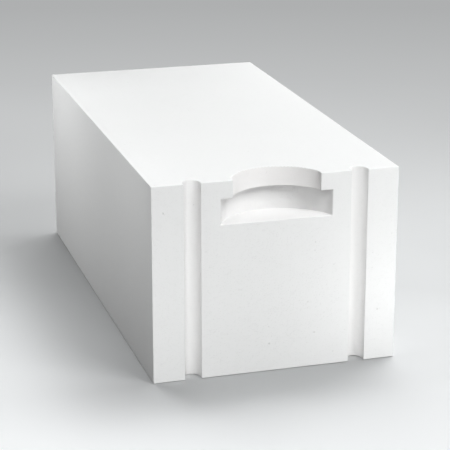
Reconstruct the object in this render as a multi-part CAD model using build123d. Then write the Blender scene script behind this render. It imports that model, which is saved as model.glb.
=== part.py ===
from build123d import *
import os

# Autoclaved aerated concrete wall block: one solid piece, cast, wire-cut and steam-cured.
# One end is milled with two full-height mortar grooves and a hand grip. The other end is plain.
# Millimetres. The origin is the centre of the bottom bed face. +X runs across the wall,
# +Y along the block away from the grip end, and +Z up.

# Stock size
length = 590.0
width = 300.0
height = 240.0
arris_radius = 1.0  # the slight rounding of the twelve outer edges

# Mortar grooves: round-bottomed channels down the whole grip end
groove_width = 20.0
groove_depth = 16.0
groove_spacing = 203.0  # from one groove's middle to the other's

# Finger slot: a level slice of a disc's circle, let into the grip end
slot_width = 136.5  # along the face
slot_depth = 46.5  # from the face to the back of the curve
slot_height = 31.0
slot_cover = 21.5  # from the slot's ceiling up to the top bed face

# Hand relief: a shallower curve over the slot, open at the top and leaning back as it rises
relief_width = 106.5  # along the face
relief_depth = 35.5  # at the slot's ceiling, to the back of the curve
relief_flank = 2.0  # straight side at the slot's ceiling, before the curve starts
relief_lean = 8.0  # how much further back the relief reaches at the top bed face

# How far each cutting tool runs out past the concrete
overrun = 10.0

grip_end_y = -length / 2
slot_ceiling_z = height - slot_cover
slot_floor_z = slot_ceiling_z - slot_height


def rounded_stock():
    """The wire-cut block before milling, standing on the origin's plane."""
    stock = Box(length=width, width=length, height=height, align=(Align.CENTER, Align.CENTER, Align.MIN))
    return fillet(stock.edges(), arris_radius)


def groove_tool(middle_x):
    """The round-bottomed bar that one mortar groove is milled to."""
    round_radius = groove_width / 2
    round_middle_y = grip_end_y + groove_depth - round_radius
    mouth_y = grip_end_y - overrun
    bottom = Pos(middle_x, round_middle_y) * Circle(round_radius)
    throat = Pos(middle_x, (round_middle_y + mouth_y) / 2) * Rectangle(groove_width, round_middle_y - mouth_y)
    return extrude(Pos(0, 0, -overrun) * (bottom + throat), height + 2 * overrun)


def curved_recess(half_width, flank, depth, mouth_y):
    """A recess seen from above: straight sides from its mouth, closed by one arc."""
    left_mouth = (-half_width, mouth_y)
    right_mouth = (half_width, mouth_y)
    left_end = (-half_width, grip_end_y + flank)
    right_end = (half_width, grip_end_y + flank)
    deepest = (0, grip_end_y + depth)
    sides = Polyline(left_end, left_mouth, right_mouth, right_end)
    return make_face(sides + ThreePointArc(left_end, deepest, right_end))


def slot_tool():
    """The level disc segment of the finger slot."""
    plan = curved_recess(slot_width / 2, 0.0, slot_depth, grip_end_y - overrun)
    return extrude(Pos(0, 0, slot_floor_z) * plan, slot_height)


def relief_tool():
    """The relief's curve, carried up from the slot's ceiling along its leaning back wall."""
    rise = slot_cover + overrun
    lean_over_rise = relief_lean * rise / slot_cover
    mouth_y = grip_end_y - overrun - lean_over_rise
    plan = curved_recess(relief_width / 2, relief_flank, relief_depth, mouth_y)
    path = Vector(0, lean_over_rise, rise)
    return extrude(Pos(0, 0, slot_ceiling_z) * plan, amount=path.length, dir=path)


def make_block():
    """The finished block."""
    block = rounded_stock() - slot_tool() - relief_tool()
    for side in (-1, 1):
        block -= groove_tool(side * groove_spacing / 2)
    return block


def main():
    os.makedirs("parts", exist_ok=True)
    block = make_block()
    block.label = "block"
    export_step(block, "parts/block.step")


main()
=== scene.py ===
# %% [markdown]
# A wall block of aerated concrete, given its surface and its light.
# The real block is one piece. A cake of foamed mortar is cut by wires, cured in steam, and one end
# is milled with two mortar grooves and a hand grip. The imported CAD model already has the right
# size and place, so the first step is to load it as a fixed frame that everything else refers to.

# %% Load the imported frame
import math

import bmesh
import bpy
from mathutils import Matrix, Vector


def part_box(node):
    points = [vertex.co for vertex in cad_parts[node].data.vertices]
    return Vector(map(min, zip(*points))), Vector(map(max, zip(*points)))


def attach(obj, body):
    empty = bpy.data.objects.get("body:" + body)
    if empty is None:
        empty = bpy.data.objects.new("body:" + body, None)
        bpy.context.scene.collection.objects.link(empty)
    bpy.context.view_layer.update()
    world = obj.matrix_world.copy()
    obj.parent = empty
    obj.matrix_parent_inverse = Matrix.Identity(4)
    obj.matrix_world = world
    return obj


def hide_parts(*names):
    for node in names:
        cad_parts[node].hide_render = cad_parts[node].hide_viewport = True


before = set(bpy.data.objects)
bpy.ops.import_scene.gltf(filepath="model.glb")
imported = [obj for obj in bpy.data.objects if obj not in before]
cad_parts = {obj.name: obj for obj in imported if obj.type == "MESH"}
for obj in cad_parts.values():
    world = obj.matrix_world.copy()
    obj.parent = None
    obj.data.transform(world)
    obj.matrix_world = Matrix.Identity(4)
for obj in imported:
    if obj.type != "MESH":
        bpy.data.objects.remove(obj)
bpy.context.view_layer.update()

MM = 0.001
low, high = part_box("block")
print("CAD block, mm:", [round(side / MM, 1) for side in high - low])

# %% [markdown]
# The camera comes first, so that each later step can be looked at from the right place.
# A long lens a little over two metres away keeps the block's upright edges nearly parallel. The
# place could be given as bare coordinates, but an aim point, two angles and a distance say more:
# the camera looks down on the top face and turns a little to show the left side.

# %% Camera
camera_azimuth = math.radians(-16.42)
camera_elevation = math.radians(17.97)
camera_distance = 2.2796
camera_aim = Vector((0.0293, 0.0180, 0.0815))
sensor_width = 36.0
lens_length = 134.98


def direction(azimuth, elevation):
    """The unit vector from the block towards a place. Azimuth 0 is in front of the grip end."""
    level = math.cos(elevation)
    return Vector((math.sin(azimuth) * level, -math.cos(azimuth) * level, math.sin(elevation)))


def face_back(thing, outward):
    """Turn a camera or a lamp so that it looks back along a direction."""
    thing.rotation_mode = "QUATERNION"
    thing.rotation_quaternion = (-outward).to_track_quat("-Z", "Y")


camera = bpy.data.objects.new("camera", bpy.data.cameras.new("camera"))
camera.data.sensor_width = sensor_width
camera.data.lens = lens_length
towards_camera = direction(camera_azimuth, camera_elevation)
camera.location = camera_aim + towards_camera * camera_distance
face_back(camera, towards_camera)
bpy.context.scene.collection.objects.link(camera)
bpy.context.scene.camera = camera
print("camera at, m:", [round(c, 3) for c in camera.location])

# %% [markdown]
# The block's shape. The CAD solid could be shown as it is: its size is right and its flats shade
# well. But where a recess meets a face, the CAD edge is a perfect knife edge, which a soft
# mineral foam never keeps, and its mesh is loose triangles that carry a single finish. So the
# block is cut again here, the way the works cut it: a plain stock, four milling tools, and then
# every arris. These are the tools' sizes, the same as in the CAD model.

# %% Sizes of the milled end
groove_width = 20.0 * MM
groove_depth = 16.0 * MM
groove_spacing = 203.0 * MM

slot_width = 136.5 * MM
slot_depth = 46.5 * MM
slot_height = 31.0 * MM
slot_cover = 21.5 * MM

relief_width = 106.5 * MM
relief_depth = 35.5 * MM
relief_flank = 2.0 * MM
relief_lean = 8.0 * MM

overrun = 10.0 * MM
slot_ceiling = high.z - slot_cover
slot_floor = slot_ceiling - slot_height
print("slot from", round(slot_floor / MM, 1), "to", round(slot_ceiling / MM, 1), "mm above the floor")

# %% [markdown]
# A milling tool is a plan lifted up. Seen from above, each tool has two straight flanks and one
# arc between them, so one function makes them all. A single vertex is spun round the arc's
# centre, three edges run out in front of the block and close the outline, and the face is lifted.
# Many steps keep the arc round. A curve object could give the same wall, but a spin says exactly
# where it goes.

# %% One function for the four milling tools


def finish_mesh(name, bm):
    """Make a bmesh an object that sits at the origin, with its place in its mesh."""
    mesh = bpy.data.meshes.new(name)
    bm.to_mesh(mesh)
    bm.free()
    made = bpy.data.objects.new(name, mesh)
    bpy.context.scene.collection.objects.link(made)
    return made


def milling_tool(name, middle_x, width, flank, depth, steps, bottom, lift):
    """A tool whose plan has straight flanks from outside the grip end and one arc behind them."""
    half = width / 2
    sagitta = depth - flank
    radius = (half ** 2 + sagitta ** 2) / (2 * sagitta)
    half_angle = math.atan2(half, radius - sagitta)
    mouth_y = low.y - overrun - lift.y
    centre = (middle_x, low.y + depth - radius, bottom)

    bm = bmesh.new()
    first = bm.verts.new((middle_x + half, low.y + flank, bottom))
    bmesh.ops.spin(bm, geom=[first], cent=centre, axis=(0, 0, 1), angle=2 * half_angle,
                   steps=steps, use_merge=False)
    left_end, right_end = sorted((v for v in bm.verts if len(v.link_edges) == 1), key=lambda v: v.co.x)
    left_mouth = bm.verts.new((middle_x - half, mouth_y, bottom))
    right_mouth = bm.verts.new((middle_x + half, mouth_y, bottom))
    for pair in ((left_end, left_mouth), (left_mouth, right_mouth), (right_mouth, right_end)):
        bm.edges.new(pair)

    plan = bmesh.ops.contextual_create(bm, geom=bm.edges[:])["faces"]
    lifted = bmesh.ops.extrude_face_region(bm, geom=plan)["geom"]
    top = [part for part in lifted if isinstance(part, bmesh.types.BMVert)]
    bmesh.ops.translate(bm, vec=lift, verts=top)
    bmesh.ops.recalc_face_normals(bm, faces=bm.faces)
    print(name, "arc radius, mm:", round(radius / MM, 2))
    return finish_mesh(name, bm)

# %% [markdown]
# The finger slot is a level slice of a disc. The hand relief stands on it and leans back as it
# rises to the open top, so its tool is lifted along a slope. It starts a little below the slot's
# ceiling, and is that much shallower there, so that the two cuts run into each other cleanly.

# %% Make the slot, relief and groove tools
grip_middle = 0.0
slot_flank = 0.0
slot_steps = 80
slot_tool = milling_tool("slot_tool", grip_middle, slot_width, slot_flank, slot_depth, slot_steps,
                         slot_floor, Vector((0, 0, slot_height)))

relief_steps = 64
relief_dip = 5.0 * MM
lean_rate = relief_lean / slot_cover
dip_lean = relief_dip * lean_rate
relief_rise = relief_dip + slot_cover + overrun
relief_tool = milling_tool("relief_tool", grip_middle, relief_width, relief_flank - dip_lean,
                           relief_depth - dip_lean, relief_steps, slot_ceiling - relief_dip,
                           Vector((0, relief_rise * lean_rate, relief_rise)))

groove_steps = 24
groove_flank = groove_depth - groove_width / 2
groove_lift = Vector((0, 0, high.z - low.z + 2 * overrun))
groove_tools = []
for side in (-1, 1):
    groove_tools.append(milling_tool("groove_tool", side * groove_spacing / 2, groove_width,
                                     groove_flank, groove_depth, groove_steps,
                                     low.z - overrun, groove_lift))

# %% [markdown]
# The stock is the wire-cut block, with sharp edges. Boolean modifiers take the tools out of it,
# which is just what milling does. The result is read once, and the tools are thrown away.

# %% Cut the stock
bm = bmesh.new()
bmesh.ops.create_cube(bm, size=1.0)
bmesh.ops.scale(bm, vec=high - low, verts=bm.verts)
bmesh.ops.translate(bm, vec=(low + high) / 2, verts=bm.verts)
wall_block = finish_mesh("wall_block", bm)

tools = [slot_tool, relief_tool, *groove_tools]
for tool in tools:
    cut = wall_block.modifiers.new(tool.name, "BOOLEAN")
    cut.operation = "DIFFERENCE"
    cut.solver = "EXACT"
    cut.object = tool

milled = wall_block.evaluated_get(bpy.context.evaluated_depsgraph_get())
wall_block.data = bpy.data.meshes.new_from_object(milled)
wall_block.modifiers.clear()
for tool in tools:
    bpy.data.objects.remove(tool)
print("cut block:", len(wall_block.data.vertices), "vertices,", len(wall_block.data.polygons), "faces")

# %% [markdown]
# Five kinds of surface meet on the block. The long faces are cut by wires that run along it, and
# the ends by wires that cross it. A profiled wire draws the grooves, a disc mill opens the finger
# slot, and a shaped mill the relief over it. Each face is given the number of its finish while the
# faces are still few and flat.

# %% Sort the faces by how they were made
finish_kinds = range(5)
LONG_CUT, CROSS_CUT, GROOVED, SLOTTED, RELIEVED = finish_kinds
weld_distance = 0.001 * MM
on_plane = 0.01 * MM
bm = bmesh.new()
bm.from_mesh(wall_block.data)
bmesh.ops.remove_doubles(bm, verts=bm.verts, dist=weld_distance)
for face in bm.faces:
    middle = face.calc_center_median()
    if min(abs(middle.y - low.y), abs(middle.y - high.y)) < on_plane:
        face.material_index = CROSS_CUT
    elif min(abs(middle.x - low.x), abs(middle.x - high.x),
             abs(middle.z - low.z), abs(middle.z - high.z)) < on_plane:
        face.material_index = LONG_CUT
    elif abs(middle.x) > (groove_spacing - groove_width) / 2 - on_plane:
        face.material_index = GROOVED
    elif middle.z < slot_ceiling + on_plane:
        face.material_index = SLOTTED
    else:
        face.material_index = RELIEVED
print("faces by finish:", [sum(f.material_index == kind for f in bm.faces) for kind in finish_kinds])

# %% [markdown]
# No edge of a real block is a perfect line: handling rubs about a millimetre off each arris. The
# outward edges that turn by more than the facets of an arc are rounded with three segments. The
# inward corners stay as sharp as the mill leaves them.

# %% Round the arrises
arris_radius = 0.9 * MM
arris_segments = 3
least_turn = math.radians(28)
litres_per_cubic_metre = 1000

arrises = [edge for edge in bm.edges if edge.calc_face_angle_signed() > least_turn]
bmesh.ops.bevel(bm, geom=arrises, affect="EDGES", offset=arris_radius, offset_type="OFFSET",
                segments=arris_segments, profile=0.5, material=-1, clamp_overlap=False)
print("arrises rounded:", len(arrises))
print("open edges:", sum(not edge.is_manifold for edge in bm.edges))
print("volume, litres:", round(bm.calc_volume(signed=True) * litres_per_cubic_metre, 3))
bm.to_mesh(wall_block.data)
bm.free()

# %% [markdown]
# Shading has to say the same as the shape: arcs look round, flats look flat, and the corner
# inside the slot stays crisp. Every face is smooth, edges that turn sharply are marked, and a
# Weighted Normal modifier lets the big faces win over the narrow arrises beside them.

# %% Even out the shading
for face in wall_block.data.polygons:
    face.use_smooth = True
wall_block.data.set_sharp_from_angle(angle=least_turn)
even = wall_block.modifiers.new("even_shading", "WEIGHTED_NORMAL")
even.keep_sharp = True

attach(wall_block, "root")
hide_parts("block")
print("wall block faces:", len(wall_block.data.polygons))

# %% [markdown]
# Finishes are node trees, and a tree is easier to read as a sum than as a picture of wires. One
# small class wraps a socket, so that plus, minus and times add Math nodes. A second class holds
# the tree and has the one method that adds any other node.

# %% Write shader maths as Python
cool_tint = (0.982, 1.0, 1.008)


class Signal:
    """An output socket that can be added, subtracted and multiplied."""

    def __init__(self, finish, socket):
        self.finish = finish
        self.socket = socket

    def __add__(self, other):
        return self.finish.maths("ADD", self, other)

    def __sub__(self, other):
        return self.finish.maths("SUBTRACT", self, other)

    def __rsub__(self, other):
        return self.finish.maths("SUBTRACT", other, self)

    def __mul__(self, other):
        return self.finish.maths("MULTIPLY", self, other)

    __radd__ = __add__
    __rmul__ = __mul__


class Finish:
    """The node tree of a material or of the world."""

    def __init__(self, tree):
        self.tree = tree
        tree.nodes.clear()

    def node(self, kind, settings=None, sockets=None):
        """Add a node: its settings first, because they decide which sockets it has."""
        made = self.tree.nodes.new(kind)
        for name, value in (settings or {}).items():
            if name == "stops":
                self.set_stops(made.color_ramp, value)
            else:
                setattr(made, name, value)
        for name, value in (sockets or {}).items():
            socket = self.find(made, name)
            if isinstance(value, Signal):
                self.tree.links.new(value.socket, socket)
            else:
                socket.default_value = value
        return {output.name: Signal(self, output) for output in made.outputs if output.enabled}

    def find(self, made, name):
        """An input by its number, or the first one in use that has the name."""
        if isinstance(name, int):
            return made.inputs[name]
        return next(socket for socket in made.inputs if socket.enabled and socket.name == name)

    def set_stops(self, ramp, stops):
        """Give a ramp its stops: a place from 0 to 1 and a grey level each, a little cool."""
        while len(ramp.elements) < len(stops):
            ramp.elements.new(1.0)
        for element, (place, grey) in zip(ramp.elements, stops):
            element.position = place
            element.color = (*(tint * grey for tint in cool_tint), 1.0)

    def maths(self, operation, left, right):
        """One Math node."""
        return self.node("ShaderNodeMath", {"operation": operation}, {0: left, 1: right})["Value"]

    def ease(self, value, start, end):
        """Go smoothly from 0 at start to 1 at end, and stay level outside them."""
        return self.node("ShaderNodeMapRange", {"interpolation_type": "SMOOTHSTEP"},
                         {"Value": value, "From Min": start, "From Max": end})["Result"]

    def object_place(self):
        """The point on the surface, in metres in the frame."""
        return self.node("ShaderNodeTexCoord")["Object"]

    def stretch(self, place, per_metre):
        """Count a place in cells, with a number of cells to the metre for each axis."""
        return self.node("ShaderNodeVectorMath", {"operation": "MULTIPLY"},
                         {0: place, 1: per_metre})["Vector"]


def new_material(name):
    """An empty node material and its finish."""
    material = bpy.data.materials.new(name)
    material.use_nodes = True
    return material, Finish(material.node_tree)

# %% [markdown]
# Aerated concrete is a mineral foam: near white, dead matte, and full of round pores about a
# millimetre across, with a few larger ones. Cutting opens the pores at the surface. A flat white
# would look like plaster board, and a photograph wrapped round it would not stand a close look.
# So the pores are cells of a Voronoi pattern in space, each with a radius of its own, which
# carry on round every edge. They dent the surface and darken it a little, as painted shade in the pits.

# %% Pores


def pores(finish, place, cell, least_radius, most_radius, softness):
    """1 inside round pores and 0 between them. Radii are shares of a cell.

    A cell whose radius comes out below 0 has no pore.
    """
    cells = finish.node("ShaderNodeTexVoronoi", {"voronoi_dimensions": "3D", "feature": "F1"},
                        {"Vector": place, "Scale": 1 / cell})
    chance = finish.node("ShaderNodeSeparateColor", None, {"Color": cells["Color"]})["Red"]
    radius = least_radius + (most_radius - least_radius) * chance
    return finish.ease(radius - cells["Distance"], 0.0, softness)

# %% [markdown]
# Over the pores come the marks of the tools. A wire drags grains along and leaves fine streaks,
# and a mill leaves faint level rings. Both are noise stretched along the tool's path, so one
# function makes all five finishes, given how many marks to count to the metre on each axis. It is
# given a ground colour too, and some grounds carry painted light and shade: the grooves are paler
# than the flat faces as painted light, and the slot darker and the relief darker still as painted
# shade in the recesses.

# %% Colours, pores and marks
matrix_colour = (0.877, 0.887, 0.884, 1.0)
# The grooves' paler ground is painted light, and the slot's and the relief's darker grounds are painted
# shade in the recesses.
groove_painted_light_colour = (0.932, 0.932, 0.928, 1.0)
slot_painted_shade_colour = (0.832, 0.830, 0.828, 1.0)
relief_painted_shade_colour = (0.765, 0.758, 0.752, 1.0)
# Mixed in, this colour is painted shade in the pores, and the foam's own tone in the clouds and tool
# marks.
pore_shade_and_tone_colour = (0.590, 0.600, 0.595, 1.0)

fine_pore_cell = 1.7 * MM
fine_pore_radii = (0.10, 0.42)
fine_pore_edge = 0.16
fine_pore_shade = 0.12
fine_pore_depth = 0.22

large_pore_cell = 8.0 * MM
large_pore_radii = (-0.35, 0.15)
large_pore_edge = 0.05
large_pore_shade = 0.30
large_pore_depth = 0.60

lengthwise_streaks = (900.0, 9.0, 900.0)
upright_streaks = (900.0, 900.0, 9.0)
level_rings = (40.0, 40.0, 700.0)
tool_mark_shade = 0.05
tool_mark_depth = 0.05

clouds_per_metre = 14.0
cloud_shade = 0.05
ground_roughness = 0.88
pore_roughness = 0.1
widest_pores = [2 * fine_pore_radii[1] * fine_pore_cell, 2 * large_pore_radii[1] * large_pore_cell]
print("widest fine and large pores, mm:", [round(across / MM, 2) for across in widest_pores])

# %% The aerated concrete finish


def aerated_concrete(name, ground_colour, marks_per_metre):
    """Fine-pored mineral foam, with tool marks stretched the way the tool ran."""
    material, finish = new_material(name)
    place = finish.object_place()
    fine = pores(finish, place, fine_pore_cell, *fine_pore_radii, fine_pore_edge)
    large = pores(finish, place, large_pore_cell, *large_pore_radii, large_pore_edge)
    marks = finish.node("ShaderNodeTexNoise", {"noise_dimensions": "3D"},
                        {"Vector": finish.stretch(place, marks_per_metre), "Scale": 1.0,
                         "Detail": 3.0, "Roughness": 0.6})["Fac"]
    clouds = finish.node("ShaderNodeTexNoise", {"noise_dimensions": "3D"},
                         {"Vector": place, "Scale": clouds_per_metre, "Detail": 4.0})["Fac"]

    # The pores darken the colour as painted shade in their pits; the clouds and tool marks vary the
    # foam's own tone.
    shade = (fine * fine_pore_shade + large * large_pore_shade
             + clouds * cloud_shade + marks * tool_mark_shade)
    colour = finish.node("ShaderNodeMix", {"data_type": "RGBA"},
                         {"Factor": shade, "A": ground_colour, "B": pore_shade_and_tone_colour})["Result"]
    height = marks * tool_mark_depth - fine * fine_pore_depth - large * large_pore_depth
    bump = finish.node("ShaderNodeBump", None, {"Height": height, "Distance": MM})["Normal"]
    shader = finish.node("ShaderNodeBsdfPrincipled", None,
                         {"Base Color": colour, "Roughness": ground_roughness + fine * pore_roughness,
                          "Specular IOR Level": 0.25, "Normal": bump})["BSDF"]
    finish.node("ShaderNodeOutputMaterial", None, {"Surface": shader})
    print("finish", name, "has", len(material.node_tree.nodes), "nodes")
    return material

# %% Give each kind of surface its finish
# The grooves get a ground with painted light, and the slot and the relief get grounds with painted
# shade.
for name, ground_colour, marks_per_metre in (
        ("long_cut_concrete", matrix_colour, lengthwise_streaks),
        ("cross_cut_concrete", matrix_colour, upright_streaks),
        ("grooved_concrete", groove_painted_light_colour, upright_streaks),
        ("slotted_concrete", slot_painted_shade_colour, level_rings),
        ("relief_concrete", relief_painted_shade_colour, level_rings)):
    wall_block.data.materials.append(aerated_concrete(name, ground_colour, marks_per_metre))
print("finishes in order:", [material.name for material in wall_block.data.materials])
finish_of_face = [face.material_index for face in wall_block.data.polygons]
print("faces of each finish:", [finish_of_face.count(kind) for kind in finish_kinds])

# %% [markdown]
# The floor is a wide pale disc that carries the block's soft shadow. It is near white in front
# of the block and goes to grey behind it. Farther off it glows, so that it stays even where the
# lamps no longer reach. The change comes about a metre behind the block's middle, and about 1.4
# metres from it on every other side. A second thing matters more than the floor's colour: how
# much light it throws back on the block. A white floor would fill every recess with light from
# below. Light Path tells the two apart: the camera sees the ramps, and the block sees a plain
# dark grey.

# %% Pale floor
floor_radius = 8.0
floor_sides = 96
floor_gap = 0.1 * MM
floor_bounce = 0.12
lit_centre = (-3.7, -4.8, 0.0)
lit_stops = [(5.53, 0.990), (5.69, 0.880), (5.85, 0.770), (6.01, 0.600), (6.17, 0.489), (6.34, 0.465),
             (7.31, 0.445)]
backdrop_grey = 0.434
glow_centre = (-0.6, -2.0, 0.0)
glow_stops = [(2.75, 0.635), (3.05, 0.577), (3.35, 0.525), (3.75, 0.474), (4.15, backdrop_grey)]
glow_start = 2.85
glow_end = 3.30
block_foot = (0.0, 0.0, 0.0)
round_start = 1.00
round_end = 1.70


def seen_directly(finish):
    """1 for rays from the camera, and for rays that a mirror or glass passes on."""
    path = finish.node("ShaderNodeLightPath")
    seen = finish.maths("MAXIMUM", path["Is Camera Ray"], path["Is Glossy Ray"])
    return finish.maths("MAXIMUM", seen, path["Is Transmission Ray"])


def reach_from(finish, centre):
    """How far the point on the floor is from a centre, in metres."""
    return finish.node("ShaderNodeVectorMath", {"operation": "DISTANCE"},
                       {0: finish.object_place(), 1: centre})["Value"]


def floor_colour(finish, reach, stops):
    """A grey that changes with the reach. Its stops are given in metres."""
    longest = stops[-1][0]
    shares = [(metres / longest, grey) for metres, grey in stops]
    return finish.node("ShaderNodeValToRGB", {"stops": shares}, {"Fac": reach * (1 / longest)})["Color"]


def pale_floor():
    """A floor that is pale to the camera and dark to the block."""
    material, finish = new_material("pale_floor")
    lit = finish.node("ShaderNodeBsdfDiffuse", None,
                      {"Color": floor_colour(finish, reach_from(finish, lit_centre), lit_stops)})["BSDF"]
    glow_reach = reach_from(finish, glow_centre)
    glow = finish.node("ShaderNodeEmission", None,
                       {"Color": floor_colour(finish, glow_reach, glow_stops)})["Emission"]
    behind = finish.ease(glow_reach, glow_start, glow_end)
    all_round = finish.ease(reach_from(finish, block_foot), round_start, round_end)
    shown = finish.node("ShaderNodeMixShader", None,
                        {"Fac": finish.maths("MAXIMUM", behind, all_round), 1: lit, 2: glow})["Shader"]
    bounce = finish.node("ShaderNodeBsdfDiffuse", None,
                         {"Color": (floor_bounce, floor_bounce, floor_bounce, 1.0)})["BSDF"]
    surface = finish.node("ShaderNodeMixShader", None,
                          {"Fac": seen_directly(finish), 1: bounce, 2: shown})["Shader"]
    finish.node("ShaderNodeOutputMaterial", None, {"Surface": surface})
    return material


bm = bmesh.new()
bmesh.ops.create_circle(bm, cap_ends=True, radius=floor_radius, segments=floor_sides)
bmesh.ops.translate(bm, vec=(0, 0, low.z - floor_gap), verts=bm.verts)
studio_floor = finish_mesh("studio_floor", bm)
studio_floor.data.materials.append(pale_floor())
print("floor radius, m:", floor_radius)

# %% [markdown]
# Beyond the floor's edge there is only the world. To the camera it is the grey that the floor
# fades to, so no horizon shows from any side. To the block it is dark, so that all of the light
# comes from the panels and the recesses keep their shade.

# %% World
world = bpy.data.worlds.new("studio")
bpy.context.scene.world = world
world.use_nodes = True
air = Finish(world.node_tree)
backdrop = air.node("ShaderNodeBackground", None,
                    {"Color": (*(tint * backdrop_grey for tint in cool_tint), 1.0),
                     "Strength": seen_directly(air)})["Background"]
air.node("ShaderNodeOutputWorld", None, {"Surface": backdrop})
bpy.context.scene.view_settings.view_transform = "Standard"
print("backdrop grey:", backdrop_grey)

# %% [markdown]
# Soft light comes from square panels. Each is placed by its compass angle round the block, its
# height above the horizon and its distance, and looks at the block's middle. A photographer would
# keep a panel's light off the table with a black flag. Light linking does the same: a lamp with a
# receiver collection lights only what is in it, and still casts every shadow.

# %% A softbox and its flag
light_aim = (low + high) / 2
receivers = {}
for lit_thing, thing in (("block", wall_block), ("floor", studio_floor)):
    receivers[lit_thing] = bpy.data.collections.new("lit_" + lit_thing)
    receivers[lit_thing].objects.link(thing)


def softbox(name, lights, azimuth, elevation, distance, size, power):
    """A square light panel that faces the block, lights one thing, and is hidden from the camera.

    Angles are in degrees, distance and size in metres, and power in watts.
    """
    lamp = bpy.data.lights.new(name, "AREA")
    lamp.shape = "SQUARE"
    lamp.size = size
    lamp.energy = power
    panel = bpy.data.objects.new(name, lamp)
    outward = direction(math.radians(azimuth), math.radians(elevation))
    panel.location = light_aim + outward * distance
    face_back(panel, outward)
    panel.visible_camera = False
    panel.light_linking.receiver_collection = receivers[lights]
    bpy.context.scene.collection.objects.link(panel)
    print(name, "at, m:", [round(c, 2) for c in panel.location])

# %% [markdown]
# The main panel stands in front, 45 degrees up, which is high enough to leave the top of the
# slot's wall in the ledge's shade. One panel lights the right face from behind, and two weaker
# ones fill in from the left in front. Small panels close to the block do the rest. One in front on
# the right makes the front face brighter towards that side, one hangs high beyond the right edge,
# and one stands behind the far left corner. The left face gets two very weak ones, so it falls
# from light at its far end to mid grey, and two near the floor keep the front face even down to
# its foot.

# %% Panels that light the block
softbox("front_panel", "block", azimuth=15, elevation=45, distance=2.5, size=1.0, power=36.9)
softbox("right_panel", "block", azimuth=120, elevation=15, distance=2.5, size=1.0, power=27.0)
softbox("high_left_panel", "block", azimuth=-30, elevation=75, distance=2.5, size=1.0, power=15.0)
softbox("front_left_panel", "block", azimuth=-30, elevation=30, distance=2.5, size=1.0, power=7.8)
softbox("close_right_panel", "block", azimuth=45, elevation=12, distance=0.867, size=0.3, power=1.60)
softbox("close_high_panel", "block", azimuth=121, elevation=39.5, distance=0.755, size=0.3, power=1.35)
softbox("back_left_panel", "block", azimuth=-160.7, elevation=0, distance=1.06, size=0.3, power=3.4)
softbox("left_panel", "block", azimuth=-60.3, elevation=24, distance=0.441, size=0.3, power=0.23)
softbox("left_corner_panel", "block", azimuth=-119.7, elevation=24, distance=0.441, size=0.3, power=0.41)
softbox("foot_left_panel", "block", azimuth=-20, elevation=-6, distance=0.6, size=0.1, power=0.19)
softbox("foot_right_panel", "block", azimuth=20, elevation=-6, distance=0.45, size=0.1, power=0.06)

# %% [markdown]
# Four panels light the floor: a wide high one behind, two smaller ones to the right and in front
# on the right, and a small one close to the right face. Together they let the block's soft shadow
# fall to the left and to the front, as in the photograph.

# %% Panels that light the floor
softbox("floor_back_panel", "floor", azimuth=180, elevation=55, distance=2.5, size=2.2, power=59.1)
softbox("floor_right_panel", "floor", azimuth=120, elevation=65, distance=2.5, size=1.0, power=20.8)
softbox("floor_front_panel", "floor", azimuth=30, elevation=50, distance=2.5, size=1.0, power=14.6)
softbox("floor_close_panel", "floor", azimuth=90, elevation=44, distance=0.835, size=0.6, power=3.6)
